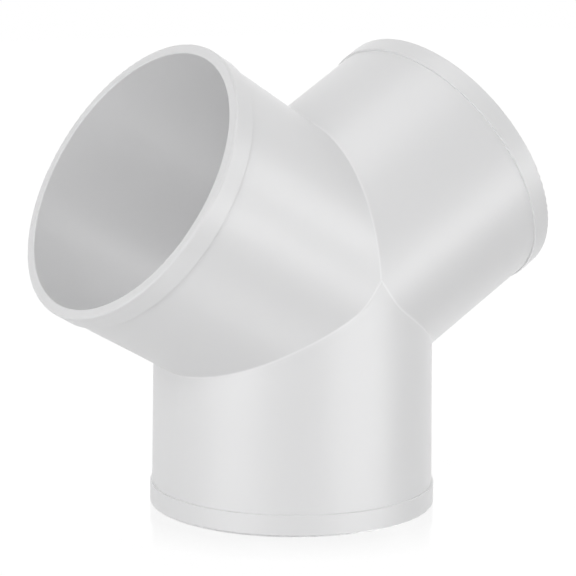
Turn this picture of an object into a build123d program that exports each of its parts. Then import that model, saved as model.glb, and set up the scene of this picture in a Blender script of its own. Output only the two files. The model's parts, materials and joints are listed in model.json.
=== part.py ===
from build123d import *
from itertools import combinations
import math
import os

# Three-way duct wye, moulded in one piece from white plastic. Lengths are in millimetres.
# Three equal round tubes meet in one plane: the foot points down and two arms rise from it.
# The origin is the centre of the foot's rim, on the surface that the wye stands on.
# +X runs across the two arms, +Z up, and the axes of all three tubes lie in the XZ plane.

# Driving dimensions of a tube
collar_diameter = 100.0
collar_step = 0.7
collar_height = 7.5
tube_length = 78.5
wall_thickness = 2.85
socket_depth = 25.0
draft_angle = 0.9

# Angle between the axes of the two arms
arm_spread = 120.0

# Rounding of the edges at a mouth, and of the creases where two tubes meet
lip_round = 0.8
mouth_round = 0.5
shoulder_round = 0.3
crease_round = 0.6

# The foot's wall stands a little proud where it meets the arms, and ends between them in a point
foot_proud = 0.15
point_rise = 6.0
point_half_width = 4.5

# Radii and places along a tube that follow, counted from where the three axes meet
collar_radius = collar_diameter / 2
tube_radius = collar_radius - collar_step
bore_radius = tube_radius - wall_thickness
collar_back = tube_length - collar_height
socket_end = tube_length - socket_depth
taper = math.tan(math.radians(draft_angle))
foot_taper = taper - foot_proud / collar_back
bore_root_radius = bore_radius - socket_end * taper

# Angles between a tube's axis and the planes where it meets its neighbours
half_spread = arm_spread / 2
half_foot = (360 - arm_spread) / 4

# Cutting shapes reach this far past the tubes
reach = 3 * tube_length
overrun = 5.0


def turned(outline):
    """Solid turned about Z from a closed outline to the right of it, in the XZ plane."""
    return revolve(Plane.XZ * make_face(outline), Axis.Z)


def tube_outside(root, wall_taper):
    """Outside of one tube along +Z with its collar, from its root to the rim."""
    root_radius = tube_radius - (collar_back - root) * wall_taper
    shoulder = (collar_radius - shoulder_round, collar_back)
    shoulder_top = (collar_radius, collar_back + shoulder_round)
    lip = (collar_radius, tube_length - lip_round)
    lip_top = (collar_radius - lip_round, tube_length)
    outline = Polyline(lip_top, (0, tube_length), (0, root), (root_radius, root))
    outline += Polyline((root_radius, root), (tube_radius, collar_back), shoulder)
    outline += RadiusArc(shoulder, shoulder_top, -shoulder_round)
    outline += Line(shoulder_top, lip)
    outline += RadiusArc(lip, lip_top, -lip_round)
    return turned(outline)


def tube_bore():
    """Air way of one tube along +Z: a straight socket behind the mouth, then the draft."""
    mouth = (bore_radius, tube_length - mouth_round)
    mouth_top = (bore_radius + mouth_round, tube_length)
    outlet = (bore_radius + mouth_round, tube_length + overrun)
    outline = Polyline(outlet, (0, tube_length + overrun), (0, 0), (bore_root_radius, 0))
    outline += Polyline((bore_root_radius, 0), (bore_radius, socket_end), mouth)
    outline += RadiusArc(mouth, mouth_top, mouth_round)
    outline += Line(mouth_top, outlet)
    return turned(outline)


def tube_space(half_left, half_right, root=((0, 0),)):
    """Space of a tube along +Z between the planes that part it from its neighbours."""
    left = math.radians(half_left)
    right = math.radians(half_right)
    left_end = (root[0][0] - reach * math.sin(left), root[0][1] + reach * math.cos(left))
    right_end = (root[-1][0] + reach * math.sin(right), root[-1][1] + reach * math.cos(right))
    outline = [left_end, *root, right_end, (right_end[0], reach), (left_end[0], reach)]
    return extrude(Plane.XZ * make_face(Polyline(*outline, close=True)), reach, both=True)


def creases(body):
    """Edges that the drafted walls of two tubes share."""
    walls = body.faces().filter_by(GeomType.CONE)
    return [edge for one, other in combinations(walls, 2) for edge in one.edges() if edge in other.edges()]


# Each tube is made along +Z and turned to its place about the point where the axes meet
left_place = Rot(0, -half_spread, 0)
right_place = Rot(0, half_spread, 0)
foot_place = Rot(0, 180, 0)
left_space = tube_space(half_foot, half_spread)
right_space = tube_space(half_spread, half_foot)
foot_space = tube_space(half_foot, half_foot)

# The arms are mitred to each other, and the foot's point reaches past its mitre
arm = tube_outside(0, taper)
point = ((-point_half_width, 0), (0, -point_rise), (point_half_width, 0))
foot = tube_outside(-point_rise, foot_taper) & tube_space(half_foot, half_foot, point)
outside = left_place * (arm & left_space)
outside += right_place * (arm & right_space)
outside += foot_place * foot
outside = fillet(creases(outside), crease_round)

# The three air ways meet in mitres of their own
bore = tube_bore()
air_way = left_place * (bore & left_space)
air_way += right_place * (bore & right_space)
air_way += foot_place * (bore & foot_space)

wye_body = Pos(0, 0, tube_length) * (outside - air_way)

os.makedirs("parts", exist_ok=True)
export_step(wye_body, "parts/wye_body.step")
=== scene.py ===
import json
import math

import bpy
from mathutils import Matrix, Quaternion, Vector


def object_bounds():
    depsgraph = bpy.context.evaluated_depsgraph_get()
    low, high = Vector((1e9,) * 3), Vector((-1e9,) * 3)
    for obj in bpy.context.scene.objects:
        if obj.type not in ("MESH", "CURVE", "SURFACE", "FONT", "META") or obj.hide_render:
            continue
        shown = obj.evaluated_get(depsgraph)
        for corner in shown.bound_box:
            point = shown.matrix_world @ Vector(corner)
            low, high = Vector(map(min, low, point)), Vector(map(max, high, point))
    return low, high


# Finish, stage, lights and camera for a white moulded duct wye. Lengths are in metres.

bl_info = {
    "name": "Duct wye finish",
    "version": (1, 0, 0),
    "blender": (4, 5, 0),
    "location": "View3D > Sidebar > Duct wye",
    "description": "Satin plastic finish, floor, soft lights and camera for a moulded duct wye",
    "category": "Object",
}

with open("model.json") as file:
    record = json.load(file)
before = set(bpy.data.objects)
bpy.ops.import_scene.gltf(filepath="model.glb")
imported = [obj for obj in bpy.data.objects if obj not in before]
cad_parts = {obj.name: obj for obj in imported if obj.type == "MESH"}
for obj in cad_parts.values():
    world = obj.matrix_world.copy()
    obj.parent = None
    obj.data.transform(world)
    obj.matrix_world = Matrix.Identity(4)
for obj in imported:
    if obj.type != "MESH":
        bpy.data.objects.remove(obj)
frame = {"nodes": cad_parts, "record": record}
cad_low, cad_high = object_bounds()


def meeting_point():
    """Where the axes of the three tubes meet, worked out from an arm's collar."""
    collars = {mount["name"]: mount for mount in frame["record"]["mounts"]}
    place = Vector(collars["right_collar"]["pos_m"])
    axis = Vector(collars["right_collar"]["axis"])
    return place - axis * (place.x / axis.x)


class WyeFinish(bpy.types.PropertyGroup):
    """Colour and surface of the moulding."""

    colour: bpy.props.FloatVectorProperty(
        name="Plastic colour",
        description="Colour of the white plastic",
        subtype="COLOR",
        size=3,
        min=0.0,
        max=1.0,
        default=(0.85, 0.85, 0.855),
    )
    roughness: bpy.props.FloatProperty(
        name="Roughness",
        description="Roughness of the satin surface",
        subtype="FACTOR",
        min=0.0,
        max=1.0,
        default=0.42,
    )
    grain_size: bpy.props.FloatProperty(
        name="Grain size",
        description="Distance between two grains of the satin texture",
        subtype="DISTANCE",
        unit="LENGTH",
        default=0.0006,
    )
    ripple_size: bpy.props.FloatProperty(
        name="Ripple size",
        description="Distance between two of the moulding's soft ripples",
        subtype="DISTANCE",
        unit="LENGTH",
        default=0.018,
    )
    seam_rise: bpy.props.FloatProperty(
        name="Seam rise",
        description="Height of the fine bead along a seam",
        subtype="DISTANCE",
        unit="LENGTH",
        precision=6,
        default=0.00002,
    )
    # The bead's crest is painted paler than the plastic: a painted highlight along each seam.
    seam_highlight_paleness: bpy.props.FloatProperty(
        name="Seam paleness",
        description="How much lighter the painted highlight on the crest of the bead is than the plastic",
        subtype="FACTOR",
        min=1.0,
        max=1.2,
        default=1.1,
    )
    seam_width: bpy.props.FloatProperty(
        name="Seam width",
        description="Width of the fine bead along a seam",
        subtype="DISTANCE",
        unit="LENGTH",
        precision=6,
        default=0.0013,
    )


class WyeStage(bpy.types.PropertyGroup):
    """Floor and room round the part."""

    floor_size: bpy.props.FloatProperty(
        name="Floor size",
        description="Length of a side of the square floor",
        subtype="DISTANCE",
        unit="LENGTH",
        default=6.0,
    )
    room_light: bpy.props.FloatProperty(
        name="Room light",
        description="Strength of the even light from all round",
        default=0.527,
    )
    shadow_share: bpy.props.FloatProperty(
        name="Shadow share",
        description="How much of the floor's look near the part is lit, and so shows a shadow",
        subtype="FACTOR",
        min=0.0,
        max=1.0,
        default=0.08,
    )
    mirror_share: bpy.props.FloatProperty(
        name="Mirror share",
        description="How much of the floor's look close to the part is a mirror image",
        subtype="FACTOR",
        min=0.0,
        max=1.0,
        default=0.16,
    )


class WyeView(bpy.types.PropertyGroup):
    """Camera, placed by its direction from the point where the tubes meet."""

    azimuth: bpy.props.FloatProperty(
        name="Azimuth",
        description="Direction of the camera round the part",
        subtype="ANGLE",
        unit="ROTATION",
        default=math.radians(-37.2),
    )
    elevation: bpy.props.FloatProperty(
        name="Elevation",
        description="Height of the camera above the horizon",
        subtype="ANGLE",
        unit="ROTATION",
        default=math.radians(9.2),
    )
    roll: bpy.props.FloatProperty(
        name="Roll",
        description="Turn of the camera about its own line of sight",
        subtype="ANGLE",
        unit="ROTATION",
        default=math.radians(0.4),
    )
    distance: bpy.props.FloatProperty(
        name="Distance",
        description="Distance of the camera from the point where the tubes meet",
        subtype="DISTANCE",
        unit="LENGTH",
        default=0.7209,
    )
    angle: bpy.props.FloatProperty(
        name="Field of view",
        description="Angle that the picture spans",
        subtype="ANGLE",
        unit="ROTATION",
        default=math.radians(15.84),
    )
    aim_right: bpy.props.FloatProperty(
        name="Aim right",
        description="How far right of the meeting point the camera aims",
        subtype="DISTANCE",
        unit="LENGTH",
        default=-0.00178,
    )
    aim_up: bpy.props.FloatProperty(
        name="Aim up",
        description="How far above the meeting point the camera aims",
        subtype="DISTANCE",
        unit="LENGTH",
        default=-0.00309,
    )


# The foot's wall meets each arm in a mitre that rises to the middle at this slope
MITRE_SLOPE = math.radians(30)

# It laps over the arm past that mitre, by this area divided by the distance from the middle, and
# nearer to the middle than the second value the lap stays the same
LAP_AREA = 4.25e-6
LAP_STAYS = 0.0019

# Between the arms it ends in a point, this high above the meeting of the axes and half as wide as
# the second value says, and the third one is how softly the point runs into the lap
POINT_RISE = 0.006
POINT_HALF_WIDTH = 0.0045
CORNER_ROUND = 0.003

# The plastic's soft clouds and how dark they are, its patches of uneven gloss and how far their
# roughness changes, and the depth of its grain and of its ripples
CLOUD_SIZE = 0.03
CLOUD_SHADE = 0.985
GLOSS_PATCH_SIZE = 0.006
GLOSS_CHANGE = 0.03
GRAIN_DEPTH = 0.000004
RIPPLE_DEPTH = 0.00003


def seam_height(tree, place, width):
    """Height of the fine bead along each seam: 1 on its crest and 0 beside it, and the mask of the
    seams' painted highlight.
    """
    nodes = tree.nodes
    links = tree.links

    def figure(operation, *values):
        step = nodes.new("ShaderNodeMath")
        step.operation = operation
        for socket, value in zip(step.inputs, values):
            if isinstance(value, float):
                socket.default_value = value
            else:
                links.new(value, socket)
        return step.outputs["Value"]

    def bead(distance):
        ranged = nodes.new("ShaderNodeMapRange")
        ranged.interpolation_type = "SMOOTHSTEP"
        ranged.inputs["From Min"].default_value = 0.0
        ranged.inputs["From Max"].default_value = width / 2
        ranged.inputs["To Min"].default_value = 1.0
        ranged.inputs["To Max"].default_value = 0.0
        links.new(figure("ABSOLUTE", distance), ranged.inputs["Value"])
        return ranged.outputs["Result"]

    axes = nodes.new("ShaderNodeSeparateXYZ")
    links.new(place, axes.inputs[0])
    aside = figure("ABSOLUTE", axes.outputs["X"])
    above = figure("SUBTRACT", axes.outputs["Z"], meeting_point().z)
    across = figure("MULTIPLY", aside, math.sin(MITRE_SLOPE))
    over_mitre = figure("ADD", across, figure("MULTIPLY", above, math.cos(MITRE_SLOPE)))
    lap = figure("DIVIDE", LAP_AREA, figure("MAXIMUM", aside, LAP_STAYS))
    over_lap = figure("SUBTRACT", over_mitre, lap)
    fall = figure("MULTIPLY", aside, POINT_RISE / POINT_HALF_WIDTH)
    above_point = figure("ADD", figure("SUBTRACT", above, POINT_RISE), fall)
    square_on = POINT_HALF_WIDTH / math.hypot(POINT_RISE, POINT_HALF_WIDTH)
    over_point = figure("MULTIPLY", above_point, square_on)
    over_foot = figure("SMOOTH_MIN", over_lap, over_point, CORNER_ROUND)
    between_arms = figure("MULTIPLY", bead(aside), figure("GREATER_THAN", over_foot, 0.0))
    return figure("MAXIMUM", bead(over_foot), between_arms)


def plastic():
    """Satin white plastic: a fine grain, soft ripples, slightly uneven gloss and fine seams with
    painted highlights.
    """
    finish = bpy.context.scene.wye_finish
    material = bpy.data.materials.new("white_plastic")
    material.use_nodes = True
    nodes = material.node_tree.nodes
    links = material.node_tree.links
    shader = nodes["Principled BSDF"]
    shader.inputs["IOR"].default_value = 1.5

    place = nodes.new("ShaderNodeTexCoord").outputs["Object"]

    def noise(size, detail):
        texture = nodes.new("ShaderNodeTexNoise")
        texture.inputs["Scale"].default_value = 1 / size
        texture.inputs["Detail"].default_value = detail
        links.new(place, texture.inputs["Vector"])
        return texture.outputs["Fac"]

    def shade(share):
        return (*[min(channel * share, 1.0) for channel in finish.colour], 1)

    def colour_mix(factor):
        """Node that mixes two colours, whose sockets are 6 and 7 going in and 2 coming out."""
        mixed = nodes.new("ShaderNodeMix")
        mixed.data_type = "RGBA"
        links.new(factor, mixed.inputs[0])
        return mixed

    def bump(depth, height):
        relief = nodes.new("ShaderNodeBump")
        relief.inputs["Distance"].default_value = depth
        links.new(height, relief.inputs["Height"])
        return relief

    tint = colour_mix(noise(CLOUD_SIZE, 2))
    tint.inputs[6].default_value = shade(CLOUD_SHADE)
    tint.inputs[7].default_value = shade(1)
    crest = seam_height(material.node_tree, place, finish.seam_width)
    # Each seam's crest is painted paler: a painted highlight along the seam, over the bead's bump.
    painted_highlight = colour_mix(crest)
    links.new(tint.outputs[2], painted_highlight.inputs[6])
    painted_highlight.inputs[7].default_value = shade(finish.seam_highlight_paleness)
    links.new(painted_highlight.outputs[2], shader.inputs["Base Color"])

    rough = nodes.new("ShaderNodeMapRange")
    rough.inputs["To Min"].default_value = finish.roughness - GLOSS_CHANGE
    rough.inputs["To Max"].default_value = finish.roughness + GLOSS_CHANGE
    links.new(noise(GLOSS_PATCH_SIZE, 3), rough.inputs["Value"])
    links.new(rough.outputs["Result"], shader.inputs["Roughness"])

    seams = bump(finish.seam_rise, crest)
    grain = bump(GRAIN_DEPTH, noise(finish.grain_size, 2))
    ripple = bump(RIPPLE_DEPTH, noise(finish.ripple_size, 1))
    links.new(seams.outputs["Normal"], grain.inputs["Normal"])
    links.new(grain.outputs["Normal"], ripple.inputs["Normal"])
    links.new(ripple.outputs["Normal"], shader.inputs["Normal"])
    return material


class FinishMoulding(bpy.types.Operator):
    """Give the moulding its satin plastic."""

    bl_idname = "duct_wye.finish_moulding"
    bl_label = "Finish the moulding"

    def execute(self, context):
        moulding = frame["nodes"]["wye_body"]
        moulding.material_slots[0].material = plastic()
        return {"FINISHED"}


def seen_in_view(tree):
    """One for a ray that shows the background, in the camera, in a gloss or through glass."""
    path = tree.nodes.new("ShaderNodeLightPath")
    shown = path.outputs["Is Camera Ray"]
    for ray in ("Is Glossy Ray", "Is Transmission Ray"):
        either = tree.nodes.new("ShaderNodeMath")
        either.operation = "MAXIMUM"
        tree.links.new(shown, either.inputs[0])
        tree.links.new(path.outputs[ray], either.inputs[1])
        shown = either.outputs[0]
    return shown


# The floor's matt part shows the shadow, and its white part is just bright enough that the two
# together are white outside the shadow
FLOOR_GREY = (0.84, 0.84, 0.84, 1)
FLOOR_ROUGHNESS = 0.5
WHITE_WITH_MATT = 1.03
MIRROR_ROUGHNESS = 0.08

# Distances from the middle of the foot between which the shadow and the mirror image fade out
SHADOW_FADES = (0.06, 0.3)
MIRROR_FADES = (0.055, 0.078)


def pale_floor():
    """White floor that shows a faint mirror image and shadow of what stands on it."""
    stage = bpy.context.scene.wye_stage
    material = bpy.data.materials.new("pale_floor")
    material.use_nodes = True
    tree = material.node_tree
    nodes = tree.nodes
    links = tree.links
    matt = nodes["Principled BSDF"]
    matt.inputs["Base Color"].default_value = FLOOR_GREY
    matt.inputs["Roughness"].default_value = FLOOR_ROUGHNESS
    place = nodes.new("ShaderNodeTexCoord").outputs["Object"]
    distance = nodes.new("ShaderNodeVectorMath")
    distance.operation = "LENGTH"
    links.new(place, distance.inputs[0])

    def fade(reach, at_near, at_far):
        ranged = nodes.new("ShaderNodeMapRange")
        ranged.inputs["From Min"].default_value = reach[0]
        ranged.inputs["From Max"].default_value = reach[1]
        ranged.inputs["To Min"].default_value = at_near
        ranged.inputs["To Max"].default_value = at_far
        links.new(distance.outputs["Value"], ranged.inputs["Value"])
        return ranged.outputs["Result"]

    def blend(share, first, second):
        mixed = nodes.new("ShaderNodeMixShader")
        links.new(share, mixed.inputs[0])
        links.new(first, mixed.inputs[1])
        links.new(second, mixed.inputs[2])
        return mixed.outputs["Shader"]

    white = nodes.new("ShaderNodeEmission")
    white.inputs["Strength"].default_value = WHITE_WITH_MATT
    mirror = nodes.new("ShaderNodeBsdfGlossy")
    mirror.inputs["Roughness"].default_value = MIRROR_ROUGHNESS
    whitened = nodes.new("ShaderNodeMath")
    whitened.operation = "MULTIPLY"
    links.new(seen_in_view(tree), whitened.inputs[0])
    links.new(fade(SHADOW_FADES, 1 - stage.shadow_share, 1.0), whitened.inputs[1])
    mirrored = fade(MIRROR_FADES, stage.mirror_share, 0.0)
    plain = blend(whitened.outputs[0], matt.outputs["BSDF"], white.outputs["Emission"])
    surface = blend(mirrored, plain, mirror.outputs["BSDF"])
    links.new(surface, nodes["Material Output"].inputs["Surface"])
    return material


# Soft lamps, each with its azimuth from the camera and its elevation, its width, height and tilt,
# all in degrees as seen from the part, its power in watts, and whether it also lights matt surfaces
LAMP_DISTANCE = 1.5
SOFTBOXES = (
    ("front_left_softbox", -25, 25, 30, 30, 0, 6.1, True),
    ("rear_right_softbox", 120, 35, 50, 50, 0, 3.8, True),
    ("rear_softbox", 180, 25, 50, 50, 0, 2.35, True),
    ("right_strip", 54, -10, 52, 12, 0, 13.5, False),
    ("left_strip", -46, -10, 40, 12, 0, 6.0, False),
    ("right_high_strip", 92, 11, 26, 12, 40, 5.8, False),
    ("right_low_strip", 59, -57, 26, 12, 90, 3.8, False),
    ("overhead_strip", 20, 78, 40, 14, -70, 6.5, False),
    ("rear_low_strip", 150, -50, 40, 20, 0, 11.0, False),
    ("rear_right_strip", 135, -9, 50, 12, 0, 0.6, False),
    ("rear_left_strip", -130, -9, 50, 12, 0, 0.4, False),
)


def outward(azimuth, elevation):
    """Direction from the part to a camera or lamp at an azimuth and an elevation."""
    cosine = math.cos(elevation)
    return Vector((math.sin(azimuth) * cosine, -math.cos(azimuth) * cosine, math.sin(elevation)))


def softbox(name, azimuth, elevation, width, height, tilt, power, lights_matt):
    """Rectangular lamp that faces the part, turned about its own line of sight by the tilt."""
    turn = bpy.context.scene.wye_view.azimuth + math.radians(azimuth)
    back = outward(turn, math.radians(elevation))
    lamp = bpy.data.lights.new(name, "AREA")
    lamp.shape = "RECTANGLE"
    lamp.size = 2 * LAMP_DISTANCE * math.tan(math.radians(width / 2))
    lamp.size_y = 2 * LAMP_DISTANCE * math.tan(math.radians(height / 2))
    lamp.energy = power
    holder = bpy.data.objects.new(name, lamp)
    holder.location = meeting_point() + back * LAMP_DISTANCE
    level = Quaternion((0, 0, 1), math.radians(tilt))
    holder.rotation_euler = (back.to_track_quat("Z", "Y") @ level).to_euler()
    holder.visible_camera = False
    holder.visible_diffuse = lights_matt
    bpy.context.scene.collection.objects.link(holder)


def lay_floor(size):
    """Floor at the foot, hidden from gloss and shadow rays so that the lamps below it still light."""
    bpy.ops.object.select_all(action="DESELECT")
    bpy.ops.mesh.primitive_plane_add(size=size, location=(0, 0, cad_low.z))
    floor = bpy.context.active_object
    floor.name = "floor"
    floor.data.transform(floor.matrix_world)
    floor.matrix_world = Matrix.Identity(4)
    floor.data.materials.append(pale_floor())
    floor.visible_glossy = False
    floor.visible_shadow = False


def light_room(strength):
    """Even light from all round, which the camera and the gloss see as white."""
    world = bpy.data.worlds.new("room")
    world.use_nodes = True
    nodes = world.node_tree.nodes
    links = world.node_tree.links
    mixed = nodes.new("ShaderNodeMix")
    mixed.data_type = "FLOAT"
    mixed.inputs["A"].default_value = strength
    mixed.inputs["B"].default_value = 1.0
    links.new(seen_in_view(world.node_tree), mixed.inputs["Factor"])
    links.new(mixed.outputs["Result"], nodes["Background"].inputs["Strength"])
    nodes["Background"].inputs["Color"].default_value = (1, 1, 1, 1)
    bpy.context.scene.world = world


def place_camera(view):
    """Camera at its direction and distance, aimed beside the meeting point and then rolled."""
    target = meeting_point()
    back = outward(view.azimuth, view.elevation)
    place = target + back * view.distance
    upward = Vector((0, 0, 1))
    right = (-back).cross(upward).normalized()
    up = right.cross(-back)
    aim = target + right * view.aim_right + up * view.aim_up
    forward = (aim - place).normalized()
    right = forward.cross(upward).normalized()
    up = right.cross(forward)
    level = Matrix((right, up, -forward)).transposed()
    lens = bpy.data.cameras.new("camera")
    lens.sensor_width = 36.0
    lens.lens = lens.sensor_width / 2 / math.tan(view.angle / 2)
    lens.clip_start = 0.05
    lens.clip_end = 50.0
    camera = bpy.data.objects.new("camera", lens)
    camera.location = place
    camera.rotation_euler = (level @ Matrix.Rotation(view.roll, 3, "Z")).to_euler()
    bpy.context.scene.collection.objects.link(camera)
    bpy.context.scene.camera = camera


class BuildStage(bpy.types.Operator):
    """Make the floor, the room, the lamps and the camera."""

    bl_idname = "duct_wye.build_stage"
    bl_label = "Build the stage"

    def execute(self, context):
        lay_floor(context.scene.wye_stage.floor_size)
        light_room(context.scene.wye_stage.room_light)
        for lamp in SOFTBOXES:
            softbox(*lamp)
        place_camera(context.scene.wye_view)
        context.scene.view_settings.view_transform = "Standard"
        return {"FINISHED"}


class WyePanel(bpy.types.Panel):
    """Lists the steps in the sidebar."""

    bl_idname = "VIEW3D_PT_duct_wye"
    bl_label = "Duct wye"
    bl_space_type = "VIEW_3D"
    bl_region_type = "UI"
    bl_category = "Duct wye"

    def draw(self, context):
        column = self.layout.column()
        for step in STEPS:
            column.operator(step.bl_idname)


GROUPS = {"wye_finish": WyeFinish, "wye_stage": WyeStage, "wye_view": WyeView}
STEPS = (FinishMoulding, BuildStage)


def register():
    for group in GROUPS.values():
        bpy.utils.register_class(group)
    for name, group in GROUPS.items():
        setattr(bpy.types.Scene, name, bpy.props.PointerProperty(type=group))
    for step in STEPS:
        bpy.utils.register_class(step)
    bpy.utils.register_class(WyePanel)


def unregister():
    bpy.utils.unregister_class(WyePanel)
    for step in reversed(STEPS):
        bpy.utils.unregister_class(step)
    for name, group in GROUPS.items():
        delattr(bpy.types.Scene, name)
        bpy.utils.unregister_class(group)


def main():
    register()
    bpy.ops.duct_wye.finish_moulding()
    bpy.ops.duct_wye.build_stage()


if __name__ == "__main__":
    main()
